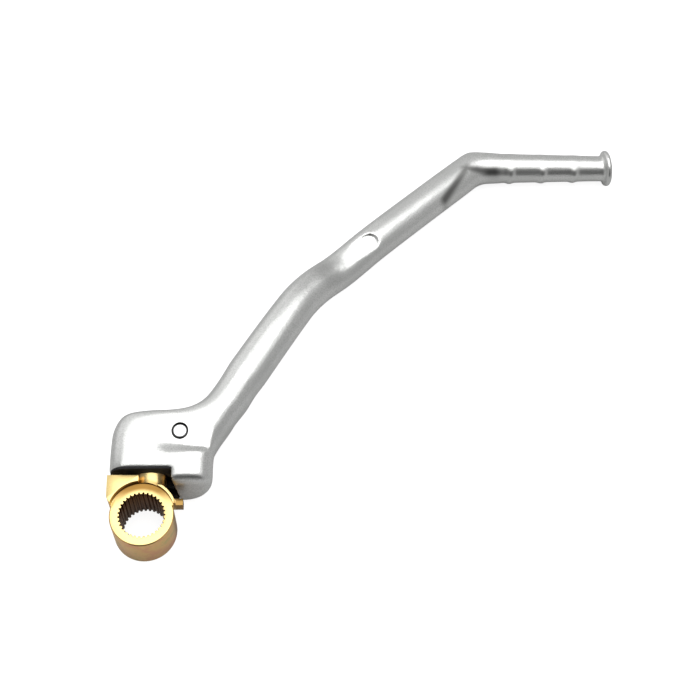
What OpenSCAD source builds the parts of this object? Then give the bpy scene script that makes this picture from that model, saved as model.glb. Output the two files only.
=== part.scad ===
// Folding kick starter lever: a splined steel boss that clamps on a kick shaft, and a forged lever
// that swings on the boss's pivot pin. The origin is on the spline axis, at the boss's rear face.
// +Z is the spline axis, outboard, +Y is the pivot axis, and +X is the folded foot peg.

/* [Splined ring] */
// Outer diameter of the ring round the splines
ring_d = 30; // [29:0.5:31]
// Length of the ring along the shaft
ring_len = 23.5; // [22:0.5:24]
// Diameter across the tips of the spline teeth
spline_tip_d = 20.7; // [20:0.1:21]
// Depth of the grooves between the teeth
spline_depth = 0.75; // [0.6:0.05:0.9]
// Number of spline teeth
spline_teeth = 33; // [28:1:36]
// Bevel on the ring's outer edges
ring_bevel = 0.5; // [0.3:0.1:0.8]

/* [Boss block] */
// Distance from the spline axis to the block's left side
block_left = 16.2; // [15.6:0.1:16.8]
// Height of the block's shoulder under the lever head, from the spline axis
shoulder_y = 18.1; // [17.6:0.1:18.1]
// Level of the flat stop lug beside the ring
lug_z = 27.8; // [27:0.1:28.2]
// Distance from the spline axis to the lug's right side, where the opened lever stops
lug_right = 1.7; // [1.6:0.1:2.2]
// Radius of the sunk washer seat round the splines
seat_r = 15.3; // [15.1:0.1:15.6]
// Width of the raised rim round the washer seat
rim_w = 1.1; // [0.9:0.1:1.4]
// Level of the raised rim
rim_z = 26.4; // [25.5:0.1:26.6]
// Level of the rim's rear side
rim_low = 19; // [16:0.5:20]
// Where the rim starts, above the spline axis
rim_start = 4.6; // [3:0.2:6]
// Where the rim ends, below the skirt
rim_end = 13.7; // [12:0.1:13.9]
// Where the block's underside starts, above the spline axis
foot_y = 3.6; // [2:0.2:4.4]
// Step of the block's lower edge below the lug
lug_drop = 4; // [2:0.5:6]
// Level of the part that stops the folded lever
stop_z = 10; // [9:0.25:11]
// Level of that part's rear side
stop_low = 5; // [4:0.25:6]
// Where that part starts, above the spline axis
stop_y = 14.6; // [14.4:0.1:15.4]
// Right side of the small lug beside the ring
key_x = 18.4; // [17.6:0.2:19]
// How far the small lug reaches into the ring
key_bite = 3; // [2.6:0.1:4]
// Where the small lug starts, above the spline axis
key_y = 7.2; // [6.4:0.2:8]
// Width of the small lug
key_w = 3.2; // [2.4:0.2:4]
// Level of the small lug's rear side
key_z = 10; // [8:0.5:12]
// Height of the small lug
key_h = 6.5; // [5:0.5:8]

/* [Pivot] */
// Distance of the pivot axis to the right of the spline axis
pivot_x = 3.5; // [3.4:0.05:3.6]
// Height of the pivot axis above the boss's rear face
pivot_z = 16.5; // [16.2:0.1:16.8]
// Diameter of the pivot pin in the lever head
pivot_d = 21; // [20.8:0.1:21.2]
// Diameter of the neck between block and pin
neck_d = 18; // [17:0.1:18.4]
// Width of the neck across its two flat sides
neck_flats = 13; // [12:0.2:15]
// Where the pivot pin ends, from the spline axis
pivot_end_y = 46.5; // [45.6:0.1:47]
// Radial running clearance of the pivot pin in the lever
pivot_gap = 0.05; // [0.03:0.01:0.08]

/* [Lever head] */
// Distance from the spline axis to the head's left side
head_left = 15.8; // [15.4:0.1:16.2]
// Distance from the spline axis to the right side of the skirt
head_right = 32.5; // [32:0.1:33.5]
// Top of the head, from the spline axis
head_top = 51.3; // [51:0.1:52]
// Level of the head's flat front
head_front = 31.5; // [31:0.1:32]
// Level of the head's back
head_back = 0.3; // [0.1:0.1:0.5]
// Lowest edge of the skirt that hangs beside the neck
skirt_y = 14.3; // [14.1:0.1:14.6]
// Where the machined end face of the head starts
end_face_y = 20.9; // [20.7:0.1:21.1]
// Distance from the pivot axis to the skirt's inner wall
skirt_wall = 11.35; // [11.2:0.05:11.5]
// Lean of the skirt's inner wall
skirt_lean = 5.5; // [5:0.1:6]
// Rounding of the head's front edges
front_round = 8; // [7:0.5:9]
// Rounding of the skirt's end
skirt_round = 4; // [3:0.1:5]
// Depth of the shallow valley between the head and the skirt
valley_depth = 0.8; // [0.4:0.1:1.2]

// Distance of the valley from the spline axis
valley_y = 30; // [28:0.5:32]
// Half width of the valley
valley_w = 3.4; // [2.6:0.2:4.4]
// Where the valley fades out on the left
valley_left = 9; // [5:0.5:14]
// Where the valley ends on the right
valley_right = 30; // [26:0.5:31]

/* [Arm] */
// Start of the straight lower arm, across
root_x = 48.3; // [47.5:0.1:49]
// Start of the straight lower arm, along
root_y = 72.8; // [72:0.1:74]
// Knee between lower and upper arm, across
knee_x = 78; // [76.4:0.2:80]
// Knee between lower and upper arm, along
knee_y = 120.2; // [118:0.2:123]
// Radius of the knee
knee_r = 90; // [60:5:110]
// Where the arm turns into the peg, across
bend_x = 168.5; // [164:0.5:172]
// Radius of the turn into the peg
bend_r = 18; // [16:1:26]
// Half width of the lower arm
low_half = 9.8; // [9.4:0.1:10.4]
// Half width of the upper arm
high_half = 9.3; // [8.8:0.1:9.8]
// Thickness of the lower arm
low_thick = 17.4; // [16:0.2:18.4]
// Thickness of the upper arm
high_thick = 16.4; // [15.4:0.2:17.4]
// Level of the lower arm's front just before the knee
knee_front = 28.9; // [27.5:0.1:30]
// Level of the arm's front in the dip behind the knee
dip_front = 22.1; // [21.6:0.1:23]
// Level of the arm's front past the sunk pad
rise_front = 23.2; // [22.6:0.1:24]

/* [Sunk pad] */
// Width of the flat pad sunk into the arm's front
pad_w = 10; // [9:0.2:11]
// Length of the pad from its open end to its round end
pad_len = 24; // [21:0.5:26]
// Distance from the knee to the round end of the pad
pad_end = 46.5; // [45:0.5:50]
// Turn of the pad from the arm's direction
pad_turn = 4; // [0:0.5:6]
// Level of the pad's floor
pad_z = 21.5; // [21:0.1:21.8]

/* [Foot peg] */
// Distance of the peg axis from the spline axis
peg_y = 201; // [198:0.2:205]
// Outer end of the peg, from the spline axis
peg_end_x = 242.4; // [240:0.2:246]
// Height of the peg axis
peg_z = 9.6; // [9:0.1:10]
// Diameter of the peg at the arm
peg_d = 16; // [15.4:0.1:16.4]
// Diameter of the peg at its outer end
peg_tip_d = 13.6; // [13:0.1:14.4]
// Diameter of the end flange
flange_d = 19.2; // [18:0.1:19.8]
// Thickness of the end flange
flange_w = 3; // [2.4:0.1:3.6]
// Turn of the end flange from square to the peg
flange_turn = 6; // [0:1:8]
// First grip rib, from the spline axis
rib_x = 188.2; // [187:0.2:190]
// Distance between grip ribs
rib_pitch = 17.2; // [16:0.1:17.6]
// Number of grip ribs
rib_count = 3; // [1:1:3]
// Width of a grip rib
rib_w = 3.6; // [3:0.1:4.4]
// Height of a grip rib
rib_h = 0.7; // [0.5:0.1:1]

/* [Retaining pin] */
// Diameter of the pin that holds the lever on the pivot
pin_d = 8; // [7.8:0.1:8.2]
// Length of that pin
pin_len = 26.5; // [24:0.5:27]
// Distance of that pin from the spline axis, along the pivot
pin_y = 39.3; // [38.8:0.1:40.4]
// How far it reaches into the groove of the pivot pin
pin_bite = 1; // [0.8:0.05:1.2]
// Rounding of the pin's ends
pin_round = 1.2; // [0.8:0.1:1.4]
// How far its end lies below the head's front
pin_sink = 1.1; // [0.6:0.1:1.6]

/* [Detent] */
// Diameter of the detent ball
ball_d = 6; // [5.6:0.1:6.2]
// Distance of the detent from the spline axis, along the pivot
detent_y = 28.5; // [28:0.1:29]
// How far the ball reaches into its track on the pivot pin
ball_bite = 0.7; // [0.5:0.05:0.8]
// Length of the pressed detent spring
spring_len = 9; // [8:0.25:9.5]
// Wire diameter of the detent spring
wire_d = 0.8; // [0.6:0.05:0.9]
// Number of turns in the detent spring
spring_turns = 5; // [4:1:6]
// Length of the plug behind the spring
plug_len = 3.2; // [2.6:0.1:3.6]
// Running clearance of ball and pin in the grooves they ride in
groove_gap = 0.06; // [0.04:0.01:0.1]

// Gap between the seated lever and the corner that stops it
stop_gap = 0.05; // [0.03:0.01:0.1]

/* [Seals] */
// Thickness of the rubber dust seal
seal_t = 0.9; // [0.6:0.1:1.4]
// Inset of the dust seal from the outline of the head's end face
seal_inset = 0.6; // [0.4:0.1:1]
// Section diameter of the O-ring on the pivot pin
oring_w = 1.6; // [1.4:0.1:1.7]
// Distance of the O-ring from the spline axis, along the pivot
oring_y = 23.2; // [23:0.1:23.6]

/* [Hidden] */

exact = 72;             // facets shown on round parts that are exact
corner_steps = 6;       // facets round one corner of the forging's section
face_steps = 7;         // facets across the forging's front
back_steps = 3;         // facets across the forging's back
head_steps = 4;         // sections between two given sections of the head
arm_step = 6;           // spacing of sections along the arm
eps = 0.01;             // overlap where two shapes join

pivot_r = pivot_d / 2;
bore_r = pivot_r + pivot_gap;
neck_r = neck_d / 2;
pin_r = pin_d / 2;
pin_off = pivot_r + pin_r - pin_bite;           // from the pivot axis to the retaining pin
pin_x = pivot_x + pin_off;
ball_r = ball_d / 2;
ball_off = pivot_r + ball_r - ball_bite;        // from the pivot axis to the ball's centre
detent_hole_r = ball_r + groove_gap;
wire_r = wire_d / 2;
coil_r = ball_r - wire_r - 0.25;
spring_seat = sqrt((ball_r + wire_r)^2 - coil_r^2) - wire_r + 0.03;
spring_off = ball_off + spring_seat;            // where the spring starts, from the pivot axis
plug_off = spring_off + spring_len;
bore_end_y = pivot_end_y + 1;
root_r = spline_tip_d / 2 + spline_depth;

// Smooth curve through a table of rows [key, value], the value a number or a list
function step_in(table, t, i = 0) =
    i >= len(table) - 2 || t < table[i + 1][0] ? i : step_in(table, t, i + 1);
function slope(table, i) =
    let (a = max(i - 1, 0), b = min(i + 1, len(table) - 1))
    (table[b][1] - table[a][1]) / (table[b][0] - table[a][0]);
function smooth(table, t) =
    let (i = step_in(table, t),
         gap = table[i + 1][0] - table[i][0],
         u = (t - table[i][0]) / gap)
    (2 * u^3 - 3 * u^2 + 1) * table[i][1] + (u^3 - 2 * u^2 + u) * gap * slope(table, i)
    + (3 * u^2 - 2 * u^3) * table[i + 1][1] + (u^3 - u^2) * gap * slope(table, i + 1);

// The arm's centre line: straight, knee, straight, turn into the peg, straight
root = [root_x, root_y];
knee = [knee_x, knee_y];
bend = [bend_x, peg_y];
arm_end = [rib_x - 5, peg_y];
function heading(a, b) = atan2(b[1] - a[1], b[0] - a[0]);
function along(p, angle, d) = p + d * [cos(angle), sin(angle)];
low_angle = heading(root, knee);
high_angle = heading(knee, bend);
knee_cut = knee_r * tan((low_angle - high_angle) / 2);
bend_cut = bend_r * tan(high_angle / 2);

// Rows of [x, y, heading] along a straight stretch and round a right-hand turn
function straight(a, b) =
    let (n = max(1, round(norm(b - a) / arm_step)), angle = heading(a, b))
    [for (i = [0:n - 1]) [each (a + (b - a) * i / n), angle]];
function turn(start, from, to, r) =
    let (n = max(2, ceil(r * (from - to) * PI / 180 / arm_step) + 1),
         centre = along(start, from - 90, r))
    [for (i = [0:n - 1])
        let (angle = from + (to - from) * i / n)
        [each along(centre, angle + 90, r), angle]];
arm_line = concat(
    straight(root, along(knee, low_angle, -knee_cut)),
    turn(along(knee, low_angle, -knee_cut), low_angle, high_angle, knee_r),
    straight(along(knee, high_angle, knee_cut), along(bend, high_angle, -bend_cut)),
    turn(along(bend, high_angle, -bend_cut), high_angle, 0, bend_r),
    straight(along(bend, 0, bend_cut), arm_end),
    [[each arm_end, 0]]);

// The arm's section along its length: half width, level of the front, thickness
low_len = norm(knee - root);
high_len = norm(bend - knee);
arm_table = [
    [-low_len, [low_half + 0.2, head_front - 0.3, low_thick + 0.2]],
    [-low_len / 2, [low_half, (head_front + knee_front) / 2 + 0.4, low_thick]],
    [-9, [low_half - 0.2, knee_front, low_thick]],
    [5, [low_half - 0.3, (knee_front + dip_front) / 2 + 0.6, low_thick - 0.3]],
    [22, [high_half + 0.1, dip_front, high_thick]],
    [pad_end - 2, [high_half, rise_front, high_thick + 0.6]],
    [high_len * 0.62, [high_half, rise_front - 1.7, high_thick + 0.2]],
    [high_len - 3, [high_half - 0.2, peg_z + peg_d / 2 + 0.8, peg_d + 0.6]],
    [high_len + 12, [peg_d / 2, peg_z + peg_d / 2, peg_d]]];

// How far a point of the centre line lies past the knee, measured along the two straight lines
function past_knee(p) =
    p[0] > bend_x ? high_len + p[0] - bend_x
    : p[0] < knee_x ? [cos(low_angle), sin(low_angle)] * [p[0] - knee_x, p[1] - knee_y]
    : [cos(high_angle), sin(high_angle)] * [p[0] - knee_x, p[1] - knee_y];

// A section of the forging: left point, right point, front and back levels,
// then width and depth of the front corners, and width and depth of the back corners
corner_part = 0.94;     // share of the half width that an arm's corner takes
function arm_section(p) =
    let (v = smooth(arm_table, past_knee(p)),
         side = v[0] * [-sin(p[2]), cos(p[2])])
    [p[0] + side[0], p[1] + side[1], p[0] - side[0], p[1] - side[1], v[1], v[1] - v[2],
     v[0] * corner_part, v[2] / 2 * corner_part, v[0] * corner_part, v[2] / 2 * corner_part];

// The head's sections fan out from the skirt's end to the arm, round the head's top left corner
back_w = 15;            // width of the head's large back corners
side_flat = 1.7;        // straight part of the head's side between front and back corners
back_h = head_front - head_back - front_round - side_flat; // depth of the large back corners
fr = front_round;
hl = -head_left;
hr = head_right;
skirt_top = skirt_y + skirt_round;
head_sections = [
    [hl, skirt_top, hr, skirt_top, head_front, head_back, fr, fr, back_w, back_h],
    [hl, 24, hr, 21.4, head_front, head_back, fr, fr, back_w, back_h],
    [hl + 0.2, 33, hr + 0.1, 26, head_front, head_back, fr, fr, back_w, back_h],
    [hl + 1.1, head_top - 9.6, hr + 0.8, 31.3, head_front, head_back, fr, fr, back_w, back_h],
    [hl + 5.6, head_top - 2.2, hr + 2.7, 35.2, head_front, head_back, fr, fr, back_w, back_h],
    [0, head_top - 0.2, hr + 5.4, 39.7, head_front, head_back, fr, fr, back_w - 1, back_h],
    [10, head_top, hr + 8.4, 44.5, head_front, head_back + 0.8, fr, fr, back_w - 2, back_h - 1.5],
    [19, head_top + 1.5, hr + 11.5, 49.6, head_front, head_back + 3.4, 8.4, fr, 11.4, 17.5],
    [26.8, head_top + 6, hr + 15.8, 55.2, head_front - 0.05, 7.4, 9, 8, 10.4, 13],
    [33, head_top + 14.4, hr + 19.7, 61.5, head_front - 0.15, 11.2, 9.4, 8.2, 9.8, 9.6],
    arm_section(arm_line[0])];
head_table = [for (i = [0:len(head_sections) - 1]) [i, head_sections[i]]];

// The skirt's end is rounded: its first sections are drawn in along a quarter circle
round_angles = [0, 30, 60];
front_share = 1.5;      // the rounding's depth at the front, against its depth at the sides
back_share = 1;         // the same at the back
function drawn_in(s, a) =
    let (d = skirt_round * (1 - sin(a)), drop = skirt_round * cos(a))
    [s[0] + d, s[1] - drop, s[2] - d, s[3] - drop,
     s[4] - d * front_share, s[5] + d * back_share,
     s[6] - d, s[7] - d, s[8] - d, s[9] - d * (front_share + back_share - 1)];
end_sections = [for (a = round_angles) drawn_in(head_sections[0], a)];

forging_sections = concat(
    end_sections,
    [for (i = [0:len(head_sections) - 2], j = [0:head_steps - 1])
        smooth(head_table, i + j / head_steps)],
    [for (p = arm_line) arm_section(p)]);

// The valley that runs across the head's front above the skirt
function bell(v) = exp(-v * v);
function valley(x, y) =
    valley_depth * bell((y - valley_y + 0.05 * x) / valley_w)
    / (1 + exp((valley_left - x) / 2)) / (1 + exp(x - valley_right));

// Points of one section, from its right side over the front to the left and back
function corner(cx, cz, w, h, from, n) =
    [for (i = [0:n]) [cx + w * cos(from + 90 * i / n), cz + h * sin(from + 90 * i / n)]];
function spread(a, b, n) = [for (i = [1:n - 1]) a + (b - a) * i / n];
function profile(half, zf, zb, fw, fh, bw, bh) = concat(
    corner(half - fw, zf - fh, fw, fh, 0, corner_steps),
    spread([half - fw, zf], [fw - half, zf], face_steps),
    corner(fw - half, zf - fh, fw, fh, 90, corner_steps),
    corner(bw - half, zb + bh, bw, bh, 180, corner_steps),
    spread([bw - half, zb], [half - bw, zb], back_steps),
    corner(half - bw, zb + bh, bw, bh, 270, corner_steps));
function ring_points(s) =
    let (mid = [s[0] + s[2], s[1] + s[3]] / 2,
         across = [s[2] - s[0], s[3] - s[1]],
         half = norm(across) / 2,
         dir = across / (2 * half))
    [for (q = profile(half, s[4], s[5], s[6], s[7], s[8], s[9]))
        let (x = mid[0] + dir[0] * q[0], y = mid[1] + dir[1] * q[0],
             front = max(0, 1 - (s[4] - q[1]) / 4))
        [x, y, q[1] - front * valley(x, y)]];

// A closed solid through the rings of points
module loft(rings) {
    n = len(rings[0]);
    last = len(rings) - 1;
    points = [for (r = rings) each r];
    walls = [for (i = [0:last - 1], j = [0:n - 1])
        let (a = i * n + j, b = i * n + (j + 1) % n)
        each [[a, b, b + n], [a, b + n, a + n]]];
    ends = [[for (j = [0:n - 1]) n - 1 - j], [for (j = [0:n - 1]) last * n + j]];
    polyhedron(points, concat(walls, ends));
}

// A cylinder that starts at y and runs along the pivot's direction
module along_y(r, y, len) {
    translate([pivot_x, y, pivot_z]) rotate([-90, 0, 0]) cylinder(r = r, h = len, $fn = exact);
}

// Turned foot peg with ribs, along +X
module peg() {
    start = arm_end[0] - 8;
    stop = peg_end_x - flange_w / 2;
    function peg_r(x) =
        peg_d / 2 - 0.08 + (peg_tip_d - peg_d) / 2 * max(0, x - arm_end[0]) / (peg_end_x - arm_end[0]);
    rib_points = [for (i = [0:rib_count - 1], a = [0:30:180])
        let (x = rib_x + i * rib_pitch - rib_w / 2 * cos(a))
        [peg_r(x) + rib_h * sin(a), x - start]];
    outline = concat(
        [[0, 0], [peg_r(start), 0], [peg_r(start), arm_end[0] - start]],
        rib_points,
        [[peg_r(stop), stop - start], [0, stop - start]]);
    translate([start, peg_y, peg_z]) rotate([0, 90, 0]) rotate_extrude($fn = exact) polygon(outline);
}

// Flange at the peg's outer end, turned a little from square
module end_flange() {
    r = flange_d / 2;
    foot = peg_tip_d / 2;
    outline = [[0, -1.2], [foot, -1.2], [foot + 0.5, -0.4], [r - 0.7, 0.2], [r, 0.9],
               [r, flange_w - 0.8], [r - 0.8, flange_w], [0, flange_w]];
    translate([peg_end_x - flange_w - 0.3, peg_y, peg_z]) rotate([0, 0, flange_turn])
        rotate([0, 90, 0]) rotate_extrude($fn = exact) polygon(outline);
}

// Everything left of the skirt's leaning inner wall, a gap away from it, over len from y
module beside_wall(gap, y, len) {
    reach = 60;
    translate([pivot_x, y, pivot_z]) rotate([0, -skirt_lean, 0])
        translate([skirt_wall - gap - reach, 0, -reach / 2]) cube([reach, len, reach]);
}

// The space cut from the head's lower end, bounded by the skirt's leaning inner wall
module notch() {
    beside_wall(0, 0, end_face_y);
}

// Flat pad with one round end, sunk into the arm's front past the knee
module pad_cut() {
    start = along(knee, high_angle, pad_end - pad_len);
    run = pad_len - pad_w / 2;
    translate([each start, pad_z]) rotate([0, 0, high_angle - pad_turn]) {
        translate([run, 0, 0]) cylinder(d = pad_w, h = 8, $fn = exact);
        translate([0, -pad_w / 2, 0]) cube([run, pad_w, 8]);
    }
}

// Detent hole, from the side of the head into the pivot bore
module detent_hole() {
    translate([pivot_x + pivot_r - 2, detent_y, pivot_z]) rotate([0, 90, 0])
        cylinder(r = detent_hole_r, h = head_right, $fn = exact);
}

module lever_arm() {
    pin_hole_bottom = head_front - pin_sink - pin_len - 0.5;
    color([0.78, 0.79, 0.8]) difference() {
        union() {
            loft([for (s = forging_sections) ring_points(s)]);
            peg();
            end_flange();
        }
        notch();
        along_y(bore_r, end_face_y - 5, bore_end_y - end_face_y + 5);
        translate([pin_x, pin_y, pin_hole_bottom]) cylinder(r = pin_r, h = 40, $fn = exact);
        detent_hole();
        pad_cut();
    }
}

// One groove between two spline teeth
module spline_groove() {
    half_pitch = 180 / spline_teeth;
    mouth = half_pitch * 0.56;
    floor_half = half_pitch * 0.28;
    low = root_r * [cos(floor_half), sin(floor_half)];
    high = spline_tip_d / 2 * [cos(mouth), sin(mouth)];
    inside = high + (high - low) / 2;
    polygon([[inside[0], -inside[1]], [low[0], -low[1]], low, inside]);
}

// Ring round the splines, bevelled at both outer edges
module ring_body() {
    r = ring_d / 2;
    rotate_extrude($fn = exact)
        polygon([[0, 0], [r - ring_bevel, 0], [r, ring_bevel], [r, ring_len - ring_bevel],
                 [r - ring_bevel, ring_len], [0, ring_len]]);
}

// Block that carries the neck: stop lug at the left, low rim at the right, stop corner behind
module block_body() {
    corner_r = 5;
    corner_y = foot_y + corner_r;
    rim_r = seat_r + rim_w;
    inner = lug_right + 1;
    // left side with the flat lug
    translate([-block_left, corner_y, 0]) cube([block_left - lug_right, shoulder_y - corner_y, lug_z]);
    translate([-block_left + corner_r, corner_y, 0]) cylinder(r = corner_r, h = lug_z, $fn = exact);
    translate([-block_left + corner_r, foot_y, 0])
        cube([block_left - corner_r - lug_right, 2 * corner_r, lug_z - lug_drop]);
    // rim round the washer seat, open towards the free side of the ring
    intersection() {
        cylinder(r = rim_r, h = rim_z, $fn = exact);
        translate([-inner, rim_start, rim_low])
            cube([2 * rim_r, rim_end - rim_start, rim_z]);
    }
    // part beside the neck, up to the shoulder, whose leaning side stops the folded lever
    intersection() {
        translate([-inner, stop_y, stop_low])
            cube([2 * rim_r, shoulder_y - stop_y, stop_z - stop_low]);
        beside_wall(stop_gap, 0, end_face_y);
    }
    // small stop lug at the right of the ring
    key_start = ring_d / 2 - key_bite;
    translate([key_start, key_y, key_z]) cube([key_x - key_start, key_w, key_h]);
}

// Neck with two flat sides, from the block to the pivot pin
module neck() {
    start = 2;
    intersection() {
        along_y(neck_r, start, end_face_y - start + eps);
        translate([pivot_x - neck_flats / 2, 0, 0]) cube([neck_flats, pivot_end_y, 2 * pivot_z]);
    }
}

module splined_boss() {
    oring_r = oring_w / 2;
    groove_r = pin_r + groove_gap;
    track_r = ball_r + groove_gap;
    color([0.86, 0.7, 0.36]) difference() {
        union() {
            ring_body();
            block_body();
            neck();
            along_y(pivot_r, end_face_y, pivot_end_y - end_face_y - 1);
            translate([pivot_x, pivot_end_y - 1, pivot_z]) rotate([-90, 0, 0])
                cylinder(r1 = pivot_r, r2 = pivot_r - 1, h = 1, $fn = exact);
        }
        translate([0, 0, -1]) cylinder(d = spline_tip_d, h = 40, $fn = exact);
        translate([0, 0, -1]) linear_extrude(40)
            for (i = [0:spline_teeth - 1]) rotate(i * 360 / spline_teeth) spline_groove();
        translate([0, 0, ring_len]) cylinder(r = seat_r, h = 20, $fn = exact);
        // groove for the retaining pin
        translate([pivot_x, pin_y, pivot_z]) rotate([-90, 0, 0]) rotate_extrude($fn = exact)
            translate([pin_off, 0]) circle(r = groove_r, $fn = exact);
        // track of the detent ball, with a deeper seat where the lever rests folded
        translate([pivot_x, detent_y, pivot_z]) rotate([-90, 0, 0]) rotate_extrude($fn = exact)
            translate([ball_off, 0]) circle(r = track_r, $fn = exact);
        translate([pivot_x + ball_off - 0.3, detent_y, pivot_z]) sphere(r = track_r + 0.1, $fn = exact);
        // groove for the O-ring
        translate([pivot_x, oring_y, pivot_z]) rotate([-90, 0, 0]) rotate_extrude($fn = exact)
            translate([pivot_r - oring_w, -oring_r - 0.1]) square([oring_w + 1, oring_w + 0.2]);
    }
}

// Straight pin with rounded ends that crosses the groove of the pivot pin
module retaining_pin() {
    arc = [for (a = [0:22.5:90]) pin_round * [sin(a), 1 - cos(a)]];
    outline = concat(
        [[0, 0]], [for (p = arc) [pin_r - pin_round + p[0], p[1]]],
        [for (i = [len(arc) - 1:-1:0]) [pin_r - pin_round + arc[i][0], pin_len - arc[i][1]]],
        [[0, pin_len]]);
    color([0.82, 0.83, 0.84]) translate([pin_x, pin_y, head_front - pin_sink - pin_len])
        rotate_extrude($fn = exact) polygon(outline);
}

module detent_ball() {
    color([0.7, 0.7, 0.72]) translate([pivot_x + ball_off, detent_y, pivot_z]) sphere(r = ball_r, $fn = 48);
}

// Pressed coil spring, swept as a helix
module detent_spring() {
    sides = 8;
    per_turn = 16;
    rise = spring_len - wire_d;
    steps = spring_turns * per_turn;
    function helix_ring(i) =
        let (a = 360 * i / per_turn,
             tilt = atan2(rise / spring_turns, 2 * PI * coil_r),
             c = [coil_r * cos(a), coil_r * sin(a), wire_r + rise * i / steps],
             out = [cos(a), sin(a), 0],
             up = [sin(a) * sin(tilt), -cos(a) * sin(tilt), cos(tilt)])
        [for (k = [0:sides - 1]) c + wire_r * (cos(k * 360 / sides) * out + sin(k * 360 / sides) * up)];
    color([0.6, 0.6, 0.62]) translate([pivot_x + spring_off, detent_y, pivot_z]) rotate([0, 90, 0])
        loft([for (i = [0:steps]) helix_ring(i)]);
}

// Pressed-in plug that backs the detent spring, with a shallow driver hole
module detent_plug() {
    color([0.55, 0.56, 0.58]) translate([pivot_x + plug_off, detent_y, pivot_z]) rotate([0, 90, 0])
        difference() {
            cylinder(r = detent_hole_r, h = plug_len, $fn = exact);
            translate([0, 0, plug_len - 1.4]) cylinder(r = 1.6, h = 2, $fn = 6);
        }
}

module pivot_o_ring() {
    oring_r = oring_w / 2;
    color([0.06, 0.06, 0.06]) translate([pivot_x, oring_y, pivot_z]) rotate([-90, 0, 0])
        rotate_extrude($fn = exact) translate([pivot_r - oring_r, 0]) circle(r = oring_r, $fn = 24);
}

// Rubber plate on the head's end face, in the face's shape, cut straight beside the skirt's wall
module dust_seal() {
    half = (head_left + head_right) / 2 - seal_inset;
    corner = fr - seal_inset;
    back = [back_w - seal_inset, back_h - seal_inset];
    color([0.05, 0.05, 0.05]) difference() {
        intersection() {
            translate([(head_right - head_left) / 2, end_face_y, 0]) rotate([90, 0, 0])
                linear_extrude(seal_t)
                    polygon(profile(half, head_front - seal_inset, head_back + seal_inset,
                                    corner, corner, back[0], back[1]));
            beside_wall(stop_gap, 0, head_top);
        }
        along_y(neck_r + pivot_gap, 0, head_top);
    }
}

splined_boss();
lever_arm();
retaining_pin();
detent_ball();
detent_spring();
detent_plug();
pivot_o_ring();
dust_seal();
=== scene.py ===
"""Folding kick starter lever for rendering: forged lever, plated boss, pin, seals and studio."""

import logging
import math
from dataclasses import dataclass, field
from enum import Enum
from functools import reduce
from typing import Optional

import bmesh
import bpy
import numpy as np
from mathutils import Matrix, Vector

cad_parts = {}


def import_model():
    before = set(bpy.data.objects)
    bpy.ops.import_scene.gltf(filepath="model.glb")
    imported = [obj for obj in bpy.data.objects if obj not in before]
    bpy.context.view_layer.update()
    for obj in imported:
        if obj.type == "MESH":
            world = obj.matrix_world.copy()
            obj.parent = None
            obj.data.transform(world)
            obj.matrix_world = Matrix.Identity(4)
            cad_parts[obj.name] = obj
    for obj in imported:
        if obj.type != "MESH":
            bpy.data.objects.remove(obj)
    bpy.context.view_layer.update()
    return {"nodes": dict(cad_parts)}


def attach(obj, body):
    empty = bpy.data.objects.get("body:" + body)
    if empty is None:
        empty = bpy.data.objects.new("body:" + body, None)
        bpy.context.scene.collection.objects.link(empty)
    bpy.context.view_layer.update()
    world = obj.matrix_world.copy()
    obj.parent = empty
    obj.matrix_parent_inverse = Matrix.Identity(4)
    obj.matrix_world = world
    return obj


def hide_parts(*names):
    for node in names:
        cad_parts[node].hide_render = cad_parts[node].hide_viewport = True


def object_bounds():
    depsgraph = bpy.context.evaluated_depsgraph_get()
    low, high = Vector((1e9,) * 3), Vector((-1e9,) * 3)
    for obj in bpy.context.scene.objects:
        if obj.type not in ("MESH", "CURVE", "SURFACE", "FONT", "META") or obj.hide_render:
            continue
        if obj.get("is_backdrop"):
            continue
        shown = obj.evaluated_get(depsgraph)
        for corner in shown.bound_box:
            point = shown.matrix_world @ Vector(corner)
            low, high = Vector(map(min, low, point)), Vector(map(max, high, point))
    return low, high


LOG = logging.getLogger("kick_starter_lever")
MM = 0.001
MERGE_GAP = 0.001 * MM
SLIVER = 0.002 * MM
WEIGHT_STEPS = 10
RELAX_FACTOR = 0.5
ROD_SIDES = 96
PIN_SIDES = 64
# The retaining pin's axis in x and y.
PIN_AXIS = (17.0 * MM, 39.3 * MM)


class Body(Enum):
    """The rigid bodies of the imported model."""

    BOSS = "boss"
    LEVER = "lever"


class Slot(Enum):
    """The record's material slots."""

    GOLD_ZINC = "gold_zinc_steel"
    ALUMINIUM = "blasted_aluminium"
    BRIGHT_STEEL = "bright_steel"
    SPRING_STEEL = "spring_steel"
    RUBBER = "black_rubber"


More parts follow.
